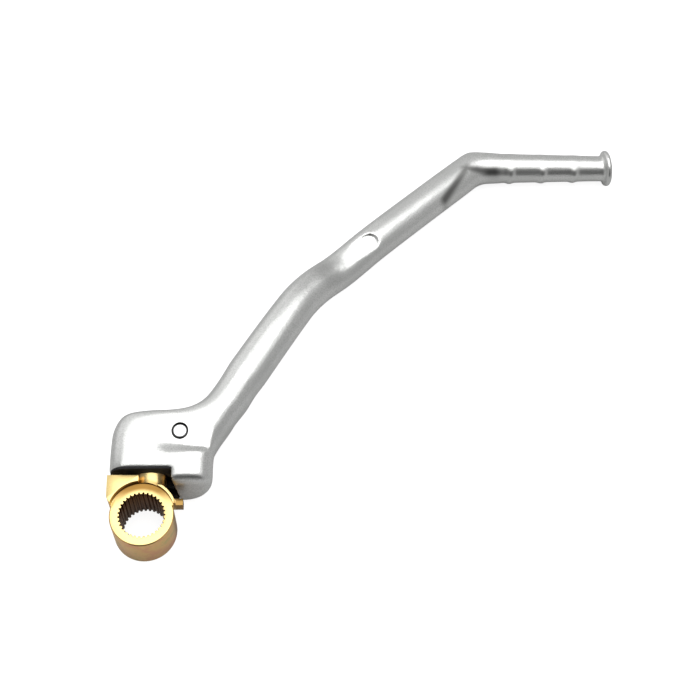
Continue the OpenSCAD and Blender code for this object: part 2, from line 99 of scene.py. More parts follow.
class NodeTree:
    """A small helper that adds and links the nodes of one tree."""

    # The colour sockets of a Mix node, which uses each name for numbers, vectors and colours.
    MIX_FACTOR = 0
    MIX_FIRST = 6
    MIX_SECOND = 7
    MIX_RESULT = 2

    def __init__(self, tree: bpy.types.NodeTree) -> None:
        """Keeps the tree.

        Args:
            tree: The node tree to build in.
        """
        self.tree = tree

    def add(self, kind: str, **values: object) -> bpy.types.Node:
        """Adds a node and sets its inputs or properties.

        Args:
            kind: The node's type name.
            values: Properties of the node, or inputs by name with underscores for spaces.

        Returns:
            The new node.
        """
        node = self.tree.nodes.new(kind)
        for key, value in values.items():
            if hasattr(node, key):
                setattr(node, key, value)
            else:
                node.inputs[key.replace("_", " ")].default_value = value
        return node

    def link(self, source: bpy.types.NodeSocket, target: bpy.types.NodeSocket) -> None:
        """Links an output socket to an input socket."""
        self.tree.links.new(source, target)

    def math(self, operation: str, *values: object) -> bpy.types.NodeSocket:
        """Adds one arithmetic step.

        Args:
            operation: The Math node's operation.
            values: Sockets and numbers, in the order of the node's inputs.

        Returns:
            The result's socket.
        """
        node = self.add("ShaderNodeMath", operation=operation)
        for target, value in zip(node.inputs, values):
            if isinstance(value, bpy.types.NodeSocket):
                self.link(value, target)
            else:
                target.default_value = value
        return node.outputs[0]

    def product(self, *marks: bpy.types.NodeSocket) -> bpy.types.NodeSocket:
        """Multiplies marks, so that a point is marked only where all of them mark it."""
        return reduce(lambda first, second: self.math("MULTIPLY", first, second), marks)

    def vary(self, source: bpy.types.NodeSocket, middle: float,
             swing: float) -> bpy.types.NodeSocket:
        """Spreads a pattern's 0 to 1 over a swing that is centred on a middle value."""
        return self.math("MULTIPLY_ADD", source, swing, middle - swing / 2)

    def axes(self, vector: bpy.types.NodeSocket) -> tuple[bpy.types.NodeSocket, ...]:
        """Splits a vector.

        Args:
            vector: The vector's socket.

        Returns:
            The sockets of its x, y and z.
        """
        node = self.add("ShaderNodeSeparateXYZ")
        self.link(vector, node.inputs[0])
        return tuple(node.outputs)

    def span(self, value: bpy.types.NodeSocket, low: float, high: float,
             base: float = 0.0) -> bpy.types.NodeSocket:
        """Rises smoothly from 0 at low to 1 at high.

        Args:
            value: The socket that is read.
            low: Where the result is 0, counted from the base.
            high: Where the result is 1, counted from the base.
            base: What low and high are counted from.

        Returns:
            The result's socket.
        """
        node = self.add("ShaderNodeMapRange", interpolation_type="SMOOTHSTEP",
                        From_Min=base + low, From_Max=base + high)
        self.link(value, node.inputs["Value"])
        return node.outputs["Result"]

    def distance(self, first: bpy.types.NodeSocket, second: bpy.types.NodeSocket,
                 first_centre: float = 0.0, second_centre: float = 0.0) -> bpy.types.NodeSocket:
        """Measures how far a point lies from an axis.

        Args:
            first: One coordinate across the axis.
            second: The other coordinate across the axis.
            first_centre: The axis's first coordinate.
            second_centre: The axis's second coordinate.

        Returns:
            The distance's socket.
        """
        one = self.math("POWER", self.math("SUBTRACT", first, first_centre), 2.0)
        two = self.math("POWER", self.math("SUBTRACT", second, second_centre), 2.0)
        return self.math("SQRT", self.math("ADD", one, two))

    def noise(self, where: bpy.types.NodeSocket, scale: float, detail: float = 3.0,
              roughness: float = 0.55) -> bpy.types.NodeSocket:
        """Adds a noise texture.

        Args:
            where: The coordinates' socket.
            scale: Cells per metre.
            detail: Octaves.
            roughness: Weight of the finer octaves.

        Returns:
            The noise value's socket.
        """
        node = self.add("ShaderNodeTexNoise", Scale=scale, Detail=detail, Roughness=roughness)
        self.link(where, node.inputs["Vector"])
        return node.outputs["Fac"]

    def blend(self, factor: bpy.types.NodeSocket, first: object, second: object,
              share: float = 1.0) -> bpy.types.NodeSocket:
        """Mixes two colours.

        Args:
            factor: The mix's socket: the first colour shows at 0, the second at 1.
            first: A socket or an RGB triple.
            second: A socket or an RGB triple.
            share: How much of the second colour shows where the factor is 1.

        Returns:
            The colour's socket.
        """
        if share < 1.0:
            factor = self.math("MULTIPLY", factor, share)
        node = self.add("ShaderNodeMix", data_type="RGBA")
        self.link(factor, node.inputs[self.MIX_FACTOR])
        for index, colour in ((self.MIX_FIRST, first), (self.MIX_SECOND, second)):
            if isinstance(colour, bpy.types.NodeSocket):
                self.link(colour, node.inputs[index])
            else:
                node.inputs[index].default_value = (*colour, 1.0)
        return node.outputs[self.MIX_RESULT]

    def bump(self, height: bpy.types.NodeSocket, strength: float, distance: float,
             onto: Optional[bpy.types.NodeSocket] = None) -> bpy.types.NodeSocket:
        """Adds a bump step.

        Args:
            height: The height's socket.
            strength: The bump's strength.
            distance: The bump's depth in metres.
            onto: A normal that the bump is laid on.

        Returns:
            The normal's socket.
        """
        node = self.add("ShaderNodeBump", Strength=strength, Distance=distance)
        self.link(height, node.inputs["Height"])
        if onto is not None:
            self.link(onto, node.inputs["Normal"])
        return node.outputs["Normal"]


def new_material(name: str) -> tuple[bpy.types.Material, NodeTree, bpy.types.Node,
                                     bpy.types.NodeSocket]:
    """Makes a material with a Principled shader and object coordinates.

    Args:
        name: The material's name.

    Returns:
        The material, its tree, its Principled node and the coordinates' socket.
    """
    material = bpy.data.materials.new(name)
    material.use_nodes = True
    tree = NodeTree(material.node_tree)
    shader = material.node_tree.nodes["Principled BSDF"]
    where = tree.add("ShaderNodeTexCoord").outputs["Object"]
    return material, tree, shader, where


# In the finishes, a scale is in cells per metre, and a pair of numbers gives where a mark starts
# and where it is full.


@dataclass(frozen=True)
class BlastedAluminium:
    """Forged aluminium, blasted fine and rubbed to a silver satin."""

    colour: tuple[float, float, float] = (0.82, 0.82, 0.81)
    shade: tuple[float, float, float] = (0.72, 0.725, 0.715)
    speck: tuple[float, float, float] = (0.67, 0.68, 0.66)
    # Painted shade in the recess round the retaining pin.
    recess_shade: tuple[float, float, float] = (0.09, 0.09, 0.09)
    # Painted shade colour for the crease at the bend and the patch before the pad.
    dull_and_shade: tuple[float, float, float] = (0.16, 0.16, 0.155)
    roughness: float = 0.34
    roughness_swing: float = 0.1
    cloud_scale: float = 55.0
    cloud_detail: float = 4.0
    shade_at: tuple[float, float] = (0.35, 0.7)
    grain_scale: float = 1500.0
    grain_detail: float = 2.0
    grain_weight: float = 0.6
    grain_strength: float = 0.5
    grain_depth: float = 0.12 * MM
    speck_at: tuple[float, float] = (0.44, 0.6)
    wave_scale: float = 160.0
    wave_detail: float = 2.0
    wave_strength: float = 0.25
    wave_depth: float = 0.12 * MM
    recess_radius: tuple[float, float] = (4.05 * MM, 3.8 * MM)
    recess_z: tuple[float, float] = (31.3 * MM, 31.0 * MM)
    # Painted shade along the crease where arm and peg meet.
    crease: tuple[tuple[float, float], ...] = (
        (151.0 * MM, 176.0 * MM), (163.5 * MM, 195.0 * MM), (179.0 * MM, 195.4 * MM))
    crease_side: tuple[float, float] = (3.0 * MM, 0.3 * MM)
    crease_fade: float = 5.0 * MM
    crease_z: tuple[float, float] = (8.0 * MM, 12.0 * MM)
    crease_share: float = 0.9
    # Painted shade in a patch on the arm just before the sunk pad.
    patch: tuple[float, float] = (88.0 * MM, 128.5 * MM)
    patch_radius: tuple[float, float] = (11.0 * MM, 2.0 * MM)
    patch_share: float = 0.3

    def stretch(self, tree: NodeTree, x: bpy.types.NodeSocket, y: bpy.types.NodeSocket,
                start: tuple[float, float], end: tuple[float, float]) -> bpy.types.NodeSocket:
        """Marks one stretch of the painted shade along the crease on the front of the bend, where
        arm and peg meet.

        Args:
            tree: The material's tree.
            x: The point's x socket.
            y: The point's y socket.
            start: Where the stretch starts.
            end: Where the stretch ends.

        Returns:
            The mark's strength, 1 in the middle of the stretch.
        """
        run = Vector(end) - Vector(start)
        unit = run.normalized()
        dx = tree.math("SUBTRACT", x, start[0])
        dy = tree.math("SUBTRACT", y, start[1])
        along = tree.math("ADD", tree.math("MULTIPLY", dx, unit.x),
                          tree.math("MULTIPLY", dy, unit.y))
        aside = tree.math("ABSOLUTE", tree.math("SUBTRACT", tree.math("MULTIPLY", dx, unit.y),
                                                tree.math("MULTIPLY", dy, unit.x)))
        return tree.product(tree.span(aside, *self.crease_side),
                            tree.span(along, -self.crease_fade, 0.0),
                            tree.span(along, self.crease_fade, 0.0, run.length))

    def make(self) -> bpy.types.Material:
        """Builds the material.

        Returns:
            The material.
        """
        material, tree, shader, where = new_material("blasted_aluminium")
        shader.inputs["Metallic"].default_value = 1.0
        x, y, z = tree.axes(where)
        cloud = tree.noise(where, self.cloud_scale, self.cloud_detail)
        grain = tree.noise(where, self.grain_scale, self.grain_detail, self.grain_weight)
        colour = tree.blend(tree.span(cloud, *self.shade_at), self.colour, self.shade)
        colour = tree.blend(tree.span(grain, *self.speck_at), colour, self.speck)
        # Painted shade: darker in a ring round the retaining pin, just below the head's face.
        near = tree.span(tree.distance(x, y, *PIN_AXIS), *self.recess_radius)
        deep = tree.span(z, *self.recess_z)
        colour = tree.blend(tree.product(near, deep), colour, self.recess_shade)
        # Painted shade along the crease at the bend.
        marks = [self.stretch(tree, x, y, start, end)
                 for start, end in zip(self.crease, self.crease[1:])]
        mark = tree.product(tree.math("MAXIMUM", *marks), tree.span(z, *self.crease_z))
        colour = tree.blend(mark, colour, self.dull_and_shade, self.crease_share)
        # Painted shade in the patch before the pad.
        patch = tree.span(tree.distance(x, y, *self.patch), *self.patch_radius)
        colour = tree.blend(patch, colour, self.dull_and_shade, self.patch_share)
        tree.link(colour, shader.inputs["Base Color"])
        rough = tree.vary(cloud, self.roughness, self.roughness_swing)
        tree.link(rough, shader.inputs["Roughness"])
        waves = tree.noise(where, self.wave_scale, self.wave_detail)
        normal = tree.bump(waves, self.wave_strength, self.wave_depth)
        normal = tree.bump(grain, self.grain_strength, self.grain_depth, normal)
        tree.link(normal, shader.inputs["Normal"])
        return material


@dataclass(frozen=True)
class GoldZinc:
    """Yellow zinc plating, with a painted highlight on front faces, painted shade in the hollow and
    on the right, darker in the splines.
    """

    colour: tuple[float, float, float] = (0.96, 0.62, 0.25)
    # Painted highlight colour for faces that face the front.
    pale: tuple[float, float, float] = (0.86, 0.66, 0.29)
    rose: tuple[float, float, float] = (0.9, 0.45, 0.24)
    green: tuple[float, float, float] = (0.66, 0.6, 0.2)
    # Painted shade colour for the hollow behind the ring and the boss's right.
    shade_bronze: tuple[float, float, float] = (0.22, 0.1, 0.012)
    bore_dark: tuple[float, float, float] = (0.17, 0.06, 0.006)
    gap_shade: tuple[float, float, float] = (0.012, 0.01, 0.008)
    roughness: float = 0.3
    roughness_swing: float = 0.12
    gap_roughness: float = 0.4
    tint_scale: float = 95.0
    rose_at: tuple[float, float] = (0.5, 0.66)
    rose_share: float = 0.75
    green_at: tuple[float, float] = (0.45, 0.34)
    green_share: float = 0.6
    drift_scale: float = 42.0
    worn_at: tuple[float, float] = (0.58, 0.72)
    worn_share: float = 0.5
    facing_front: tuple[float, float] = (0.75, 0.97)
    fine_scale: float = 1900.0
    fine_detail: float = 2.0
    fine_strength: float = 0.35
    fine_depth: float = 0.03 * MM
    turned_scale: float = 900.0
    turned_wobble: float = 1.5
    turned_detail: float = 2.0
    turned_strength: float = 0.08
    turned_depth: float = 0.02 * MM
    ring_radius: float = 15.0 * MM
    ring_len: float = 23.5 * MM
    # The painted shade in the hollow behind the ring, from the ring's radius and its front face.
    hollow_inner: tuple[float, float] = (-4.4 * MM, -1.6 * MM)
    hollow_outer: tuple[float, float] = (2.6 * MM, 0.9 * MM)
    hollow_top: tuple[float, float] = (3.4 * MM, 0.4 * MM)
    hollow_foot: tuple[float, float] = (-2.5 * MM, -0.6 * MM)
    hollow_y: tuple[float, float] = (3.0 * MM, 13.0 * MM)
    hollow_share: float = 0.9
    # Painted shade on the boss beyond the ring's radius on the right.
    right_side: tuple[float, float] = (-0.6 * MM, 0.2 * MM)
    right_share: float = 0.8
    # The darker bore, from the roots of the splines and the ring's front face.
    root_radius: float = 11.1 * MM
    bore_wall: tuple[float, float] = (0.4 * MM, 0.05 * MM)
    bore_depth: tuple[float, float] = (-0.1 * MM, -1.2 * MM)
    bore_share: float = 0.95
    # Painted shade in the gap between block and lever, which is rougher there too.
    gap_x: tuple[float, float] = (10.0 * MM, 10.1 * MM)
    gap_y: tuple[float, float] = (13.5 * MM, 14.0 * MM)

    def make(self) -> bpy.types.Material:
        """Builds the material.

        Returns:
            The material.
        """
        material, tree, shader, where = new_material("gold_zinc_steel")
        shader.inputs["Metallic"].default_value = 1.0
        x, y, z = tree.axes(where)
        radius = tree.distance(x, y)
        *_, facing = tree.axes(where.node.outputs["Normal"])
        tint = tree.noise(where, self.tint_scale)
        drift = tree.noise(where, self.drift_scale)
        colour = tree.blend(tree.span(tint, *self.rose_at), self.colour, self.rose, self.rose_share)
        colour = tree.blend(tree.span(tint, *self.green_at), colour, self.green, self.green_share)
        # Painted highlight: paler where the faces look to the front.
        painted_highlight = tree.blend(tree.span(drift, *self.worn_at), self.pale, self.colour,
                              self.worn_share)
        colour = tree.blend(tree.span(facing, *self.facing_front), colour, painted_highlight)
        # Painted shade in the hollow behind the ring.
        hollow_shade = tree.product(tree.span(radius, *self.hollow_inner, self.ring_radius),
                              tree.span(radius, *self.hollow_outer, self.ring_radius),
                              tree.span(z, *self.hollow_top, self.ring_len),
                              tree.span(z, *self.hollow_foot, self.ring_len),
                              tree.span(y, *self.hollow_y))
        colour = tree.blend(hollow_shade, colour, self.shade_bronze, self.hollow_share)
        # Painted shade on the boss's right, beyond the ring's radius.
        right = tree.span(x, *self.right_side, self.ring_radius)
        colour = tree.blend(right, colour, self.shade_bronze, self.right_share)
        # Darker inside the spline bore, below its mouth.
        bore = tree.product(tree.span(radius, *self.bore_wall, self.root_radius),
                            tree.span(z, *self.bore_depth, self.ring_len))
        colour = tree.blend(bore, colour, self.bore_dark, self.bore_share)
        # Painted shade: near black in the gap between block and lever.
        gap = tree.product(tree.span(x, *self.gap_x), tree.span(y, *self.gap_y))
        colour = tree.blend(gap, colour, self.gap_shade)
        tree.link(colour, shader.inputs["Base Color"])
        rough = tree.vary(drift, self.roughness, self.roughness_swing)
        rough = tree.math("ADD", rough, tree.math("MULTIPLY", gap, self.gap_roughness))
        tree.link(rough, shader.inputs["Roughness"])
        turned = tree.add("ShaderNodeTexWave", wave_type="BANDS", bands_direction="Z",
                          Scale=self.turned_scale, Distortion=self.turned_wobble,
                          Detail=self.turned_detail)
        tree.link(where, turned.inputs["Vector"])
        fine = tree.noise(where, self.fine_scale, self.fine_detail)
        normal = tree.bump(turned.outputs["Fac"], self.turned_strength, self.turned_depth)
        normal = tree.bump(fine, self.fine_strength, self.fine_depth, normal)
        tree.link(normal, shader.inputs["Normal"])
        return material


@dataclass(frozen=True)
class Steel:
    """Ground or drawn steel with fine marks, and painted shade outside its unshaded radius if it
    has one.
    """

    name: str
    colour: tuple[float, float, float]
    dull_and_shade: tuple[float, float, float]
    roughness: float
    unshaded_radius: float = 0.0
    rim_width: float = 0.35 * MM
    recess_shade: tuple[float, float, float] = (0.11, 0.11, 0.11)
    roughness_swing: float = 0.1
    stain_scale: float = 300.0
    dull_at: tuple[float, float] = (0.4, 0.7)
    mark_scale: float = 4000.0
    mark_detail: float = 2.0
    mark_strength: float = 0.25
    mark_depth: float = 0.02 * MM

    def make(self) -> bpy.types.Material:
        """Builds the material.

        Returns:
            The material.
        """
        material, tree, shader, where = new_material(self.name)
        shader.inputs["Metallic"].default_value = 1.0
        stain = tree.noise(where, self.stain_scale)
        colour = tree.blend(tree.span(stain, *self.dull_at), self.colour, self.dull_and_shade)
        # Painted shade on the pin's rim, outside the unshaded radius round the pin's axis.
        if self.unshaded_radius > 0:
            x, y, _ = tree.axes(where)
            rim = tree.span(tree.distance(x, y, *PIN_AXIS), 0.0, self.rim_width, self.unshaded_radius)
            colour = tree.blend(rim, colour, self.recess_shade)
        tree.link(colour, shader.inputs["Base Color"])
        rough = tree.vary(stain, self.roughness, self.roughness_swing)
        tree.link(rough, shader.inputs["Roughness"])
        marks = tree.noise(where, self.mark_scale, self.mark_detail)
        tree.link(tree.bump(marks, self.mark_strength, self.mark_depth), shader.inputs["Normal"])
        return material


@dataclass(frozen=True)
class BlackRubber:
    """Black moulded rubber with a dusty bloom."""

    colour: tuple[float, float, float] = (0.012, 0.012, 0.013)
    bloom: tuple[float, float, float] = (0.03, 0.03, 0.03)
    roughness: float = 0.62
    gloss: float = 0.25
    dust_scale: float = 240.0
    bloom_at: tuple[float, float] = (0.45, 0.75)
    pore_scale: float = 3000.0
    pore_strength: float = 0.3
    pore_depth: float = 0.04 * MM

    def make(self) -> bpy.types.Material:
        """Builds the material.

        Returns:
            The material.
        """
        material, tree, shader, where = new_material("black_rubber")
        shader.inputs["Roughness"].default_value = self.roughness
        shader.inputs["Specular IOR Level"].default_value = self.gloss
        dust = tree.noise(where, self.dust_scale)
        colour = tree.blend(tree.span(dust, *self.bloom_at), self.colour, self.bloom)
        tree.link(colour, shader.inputs["Base Color"])
        pores = tree.noise(where, self.pore_scale)
        tree.link(tree.bump(pores, self.pore_strength, self.pore_depth), shader.inputs["Normal"])
        return material


def finish_piece(piece: bpy.types.Object, body: Body, slot: Slot, *nodes: str) -> bpy.types.Object:
    """Hangs a piece on the body it rides on and hides the nodes it stands for.

    Args:
        piece: The finished piece.
        body: The body that it moves with.
        slot: The record's material slot; not used.
        nodes: The nodes that it replaces.

    Returns:
        The piece.
    """
    if nodes:
        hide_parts(*nodes)
    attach(piece, body.value)
    LOG.info("%s: %d faces, rides on %s", piece.name, len(piece.data.polygons), body.value)
    return piece


def copy_of_node(node: bpy.types.Object, name: str) -> bpy.types.Object:
    """Copies a node's mesh into a new piece and merges its loose triangles.

    Args:
        node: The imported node's object.
        name: The new piece's name.

    Returns:
        The new piece, linked to the scene.
    """
    mesh = node.data.copy()
    mesh.name = name
    mesh.materials.clear()
    piece = bpy.data.objects.new(name, mesh)
    bpy.context.scene.collection.objects.link(piece)
    shape = bmesh.new()
    shape.from_mesh(mesh)
    bmesh.ops.remove_doubles(shape, verts=shape.verts, dist=MERGE_GAP)
    bmesh.ops.dissolve_degenerate(shape, edges=shape.edges, dist=SLIVER)
    shape.to_mesh(mesh)
    shape.free()
    stale = [a.name for a in mesh.attributes if a.name in ("custom_normal", "sharp_face")]
    for attribute in stale:
        mesh.attributes.remove(mesh.attributes[attribute])
    return piece


def settle(piece: bpy.types.Object) -> None:
    """Applies all of a piece's modifiers to its mesh."""
    graph = bpy.context.evaluated_depsgraph_get()
    mesh = bpy.data.meshes.new_from_object(piece.evaluated_get(graph), depsgraph=graph)
    piece.modifiers.clear()
    piece.data = mesh
    mesh.name = piece.name


def smooth_below(piece: bpy.types.Object, degrees: float) -> None:
    """Shades a piece smooth where its faces meet at less than an angle.

    Args:
        piece: The piece.
        degrees: Edges sharper than this stay sharp.
    """
    mesh = piece.data
    mesh.shade_smooth()
    mesh.set_sharp_from_angle(angle=math.radians(degrees))


def rod(name: str, radius: float, start: Vector, end: Vector,
        sides: int = ROD_SIDES) -> bpy.types.Object:
    """Makes a closed round rod between two points, used to fill and cut holes.

    Args:
        name: The object's name.
        radius: The rod's radius in metres.
        start: One end.
        end: The other end.
        sides: Facets round the rod.

    Returns:
        The rod, linked to the scene.
    """
    shape = bmesh.new()
    along = end - start
    turn = along.to_track_quat("Z", "Y").to_matrix().to_4x4()
    bmesh.ops.create_cone(shape, cap_ends=True, segments=sides, radius1=radius, radius2=radius,
                          depth=along.length, matrix=Matrix.Translation((start + end) / 2) @ turn)
    mesh = bpy.data.meshes.new(name)
    shape.to_mesh(mesh)
    shape.free()
    piece = bpy.data.objects.new(name, mesh)
    bpy.context.scene.collection.objects.link(piece)
    return piece


@dataclass
class Pivot:
    """Where the lever swings, and the bore in the forging that takes the boss's pin."""

    x: float = 3.5 * MM
    z: float = 16.5 * MM
    radius: float = 10.5 * MM
    bore_gap: float = 0.05 * MM
    bore_start: float = 20.9 * MM
    bore_end: float = 47.5 * MM
    lead: float = 3.0 * MM

    def bore_rod(self) -> bpy.types.Object:
        """Makes the rod that cuts the pivot bore, with a lead outside its mouth."""
        return rod("bore_tool", self.radius + self.bore_gap,
                   Vector((self.x, self.bore_start - self.lead, self.z)),
                   Vector((self.x, self.bore_end, self.z)))


def ramp(value: np.ndarray, low: float, high: float) -> np.ndarray:
    """Rises smoothly from 0 at low to 1 at high.

    Args:
        value: The numbers that are read.
        low: Where the result is 0.
        high: Where the result is 1.

    Returns:
        The results, one for each number.
    """
    share = np.clip((value - low) / (high - low), 0.0, 1.0)
    return share * share * (3.0 - 2.0 * share)


def corners(piece: bpy.types.Object) -> np.ndarray:
    """Returns a piece's vertices as rows of x, y and z."""
    flat = np.empty(len(piece.data.vertices) * 3, dtype=np.float32)
    piece.data.vertices.foreach_get("co", flat)
    return flat.reshape(-1, 3).astype(float)


def weigh(piece: bpy.types.Object, name: str, weights: np.ndarray) -> None:
    """Stores a weight for each vertex, in even steps.

    Args:
        piece: The piece.
        name: The vertex group's name.
        weights: One weight from 0 to 1 for each vertex.
    """
    group = piece.vertex_groups.new(name=name)
    steps = np.rint(weights * WEIGHT_STEPS).astype(int)
    for step in range(1, WEIGHT_STEPS + 1):
        group.add(np.nonzero(steps == step)[0].tolist(), step / WEIGHT_STEPS, "REPLACE")


def relax_group(piece: bpy.types.Object, name: str, rounds: int) -> bpy.types.Modifier:
    """Adds a smoothing step that works on one vertex group.

    Args:
        piece: The piece.
        name: The vertex group's name.
        rounds: How often the group is smoothed.

    Returns:
        The modifier.
    """
    relax = piece.modifiers.new(name, "SMOOTH")
    relax.factor = RELAX_FACTOR
    relax.iterations = rounds
    relax.vertex_group = name
    return relax


@dataclass
class Valley:
    """The shallow hollow between the head's face and the raised lower right corner.

    The left sizes give way to the right ones across the turn. Each fade gives where it starts and
    where it is full.
    """

    left_y: float = 34.6 * MM
    right_y: float = 32.4 * MM
    turn: tuple[float, float] = (12.0 * MM, 25.0 * MM)
    left_run: float = 7.4 * MM
    right_run: float = 4.2 * MM
    upper_run: float = 14.0 * MM
    left_fade: tuple[float, float] = (1.0 * MM, 14.0 * MM)
    right_fade: tuple[float, float] = (33.0 * MM, 28.0 * MM)
    face_fade: tuple[float, float] = (22.0 * MM, 27.0 * MM)
    depth: float = 1.95 * MM

    def sink(self, spots: np.ndarray) -> None:
        """Moves the vertices of the head's face down into the hollow.

        Args:
            spots: The vertices, changed in place.
        """
        x, y, z = spots.T
        aside = ramp(x, *self.turn)
        bottom = self.left_y + (self.right_y - self.left_y) * aside
        run = self.left_run + (self.right_run - self.left_run) * aside
        across = ramp((y - bottom) / run, -1.0, 0.0) * ramp((y - bottom) / self.upper_run, 1.0, 0.0)
        along = ramp(x, *self.left_fade) * ramp(x, *self.right_fade)
        spots[:, 2] -= self.depth * across * along * ramp(z, *self.face_fade)


@dataclass
class Peg:
    """The round peg, whose ribs stand out on its underside and fade towards its top."""

    y: float = 201.0 * MM
    z: float = 9.6 * MM
    start: float = 183.2 * MM
    end: float = 242.4 * MM
    radius: float = 7.92 * MM
    taper: float = 1.2 * MM
    rib_start: float = 185.5 * MM
    rib_end: float = 236.0 * MM
    rib_limit: float = 2.0 * MM
    least_radius: float = 0.001 * MM
    under: tuple[float, float] = (0.35, 0.9)
    top_share: float = 0.12

    def fade_ribs(self, spots: np.ndarray) -> None:
        """Draws the ribs in to the peg's own radius, least on the underside.

        Args:
            spots: The vertices, changed in place.
        """
        x, y, z = spots.T
        across = np.stack([y - self.y, z - self.z], axis=1)
        radius = np.maximum(np.linalg.norm(across, axis=1), self.least_radius)
        plain_radius = self.radius - self.taper * (x - self.start) / (self.end - self.start)
        under = ramp(-across[:, 0] / radius, *self.under)
        keep = self.top_share + (1.0 - self.top_share) * under
        proud = radius - plain_radius
        rib = (x > self.rib_start) & (x < self.rib_end) & (proud > 0) & (proud < self.rib_limit)
        scale = (plain_radius + proud * keep) / radius
        spots[rib, 1] = self.y + across[rib, 0] * scale[rib]
        spots[rib, 2] = self.z + across[rib, 1] * scale[rib]


@dataclass
class Bend:
    """The corner between arm and peg, hard on its outside."""

    corner: tuple[float, float] = (165.5 * MM, 208.9 * MM)
    outward: tuple[float, float] = (-0.357, 0.934)
    push: float = 1.2 * MM
    reach: float = 5.0 * MM

    def shape(self, spots: np.ndarray) -> None:
        """Pushes the outer corner out.

        Args:
            spots: The vertices, changed in place.
        """
        place = spots[:, :2]
        apart = np.linalg.norm(place - np.array(self.corner), axis=1)
        near = np.exp(-(apart / self.reach) ** 2)
        spots[:, :2] += np.outer(self.push * near, self.outward)


@dataclass
class ForgedLever:
    """The one-piece forging: skirted head, cranked arm with sunk pad, ribbed peg with end flange.

    The flange's fade and the pairs that end in y or z give where an effect starts and where it is
    full. The pin's hole is given by its bottom and a place above its top.
    """

    pivot: Pivot
    voxel: float = 0.62 * MM
    smoothing: int = 8
    crowning: int = 150
    pin_radius: float = 4.0 * MM
    pin_hole: tuple[float, float] = (3.4 * MM, 40.0 * MM)
    plug_margin: float = 0.4 * MM
    plug_below: float = 1.0 * MM
    face_z: float = 31.48 * MM
    flange_fade: tuple[float, float] = (234.0 * MM, 237.0 * MM)
    flange_kept: float = 0.85
    head_y: tuple[float, float] = (74.0 * MM, 58.0 * MM)
    head_z: tuple[float, float] = (14.0 * MM, 21.0 * MM)
    pad_foot: tuple[float, float] = (92.5 * MM, 133.5 * MM)
    pad_reach: float = 6.0 * MM
    pad_z: tuple[float, float] = (15.0 * MM, 19.0 * MM)
    smooth_angle: float = 38.0
    valley: Valley = field(default_factory=Valley)
    peg: Peg = field(default_factory=Peg)
    bend: Bend = field(default_factory=Bend)
    finish: BlastedAluminium = field(default_factory=BlastedAluminium)

    def pin_rod(self, name: str, radius: float, bottom: float, top: float) -> bpy.types.Object:
        """Makes a rod on the retaining pin's axis.

        Args:
            name: The rod's name.
            radius: The rod's radius.
            bottom: The height where it starts.
            top: The height where it ends.

        Returns:
            The rod.
        """
        return rod(name, radius, Vector((*PIN_AXIS, bottom)), Vector((*PIN_AXIS, top)), PIN_SIDES)

    def fill_hole(self, piece: bpy.types.Object) -> None:
        """Fills the pin's hole, because the remesh would round its edge.

        Args:
            piece: The forging.
        """
        plug = self.pin_rod("plug", self.pin_radius + self.plug_margin,
                            self.pin_hole[0] - self.plug_below, self.face_z)
        fill = bmesh.new()
        fill.from_mesh(piece.data)
        fill.from_mesh(plug.data)
        fill.to_mesh(piece.data)
        fill.free()
        bpy.data.objects.remove(plug)

    def soften(self, piece: bpy.types.Object) -> None:
        """Softens the corners and crowns the head's face and the foot of the sunk pad.

        Args:
            piece: The remeshed forging.
        """
        x, y, z = corners(piece).T
        weigh(piece, "soft", 1.0 - self.flange_kept * ramp(x, *self.flange_fade))
        head = ramp(y, *self.head_y) * ramp(z, *self.head_z)
        foot_x, foot_y = self.pad_foot
        apart = (x - foot_x) ** 2 + (y - foot_y) ** 2
        foot = np.exp(-apart / self.pad_reach ** 2) * ramp(z, *self.pad_z)
        weigh(piece, "crowned", np.maximum(head, foot))
        relax_group(piece, "soft", self.smoothing)
        crown = relax_group(piece, "crowned", self.crowning)
        crown.use_x = False
        crown.use_y = False
        settle(piece)
        piece.vertex_groups.clear()

    def skin(self, node: bpy.types.Object) -> bpy.types.Object:
        """Remeshes a copy of the forging so that its facets and corners flow into each other.

        Args:
            node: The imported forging.

        Returns:
            The smoothed piece, before its holes are cut again.
        """
        piece = copy_of_node(node, "forged_lever")
        self.fill_hole(piece)
        remesh = piece.modifiers.new("even_skin", "REMESH")
        remesh.mode = "VOXEL"
        remesh.voxel_size = self.voxel
        remesh.use_smooth_shade = True
        settle(piece)
        self.soften(piece)
        spots = corners(piece)
        self.valley.sink(spots)
        self.peg.fade_ribs(spots)
        self.bend.shape(spots)
        piece.data.vertices.foreach_set("co", spots.astype(np.float32).ravel())
        piece.data.update()
        return piece

    def cut(self, piece: bpy.types.Object, tool: bpy.types.Object) -> None:
        """Cuts a tool's shape out of the forging.

        Args:
            piece: The forging.
            tool: The closed shape to remove, deleted afterwards.
        """
        carve = piece.modifiers.new("carve", "BOOLEAN")
        carve.operation = "DIFFERENCE"
        carve.solver = "EXACT"
        carve.object = tool
        settle(piece)
        bpy.data.objects.remove(tool)

    def build(self, node: bpy.types.Object) -> bpy.types.Object:
        """Builds the forging and dresses it.

        Args:
            node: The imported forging.

        Returns:
            The finished piece.
        """
        piece = self.skin(node)
        self.cut(piece, self.pivot.bore_rod())
        self.cut(piece, self.pin_rod("pin_tool", self.pin_radius, *self.pin_hole))
        smooth_below(piece, self.smooth_angle)
        piece.data.materials.append(self.finish.make())
        return finish_piece(piece, Body.LEVER, Slot.ALUMINIUM, "lever_arm")


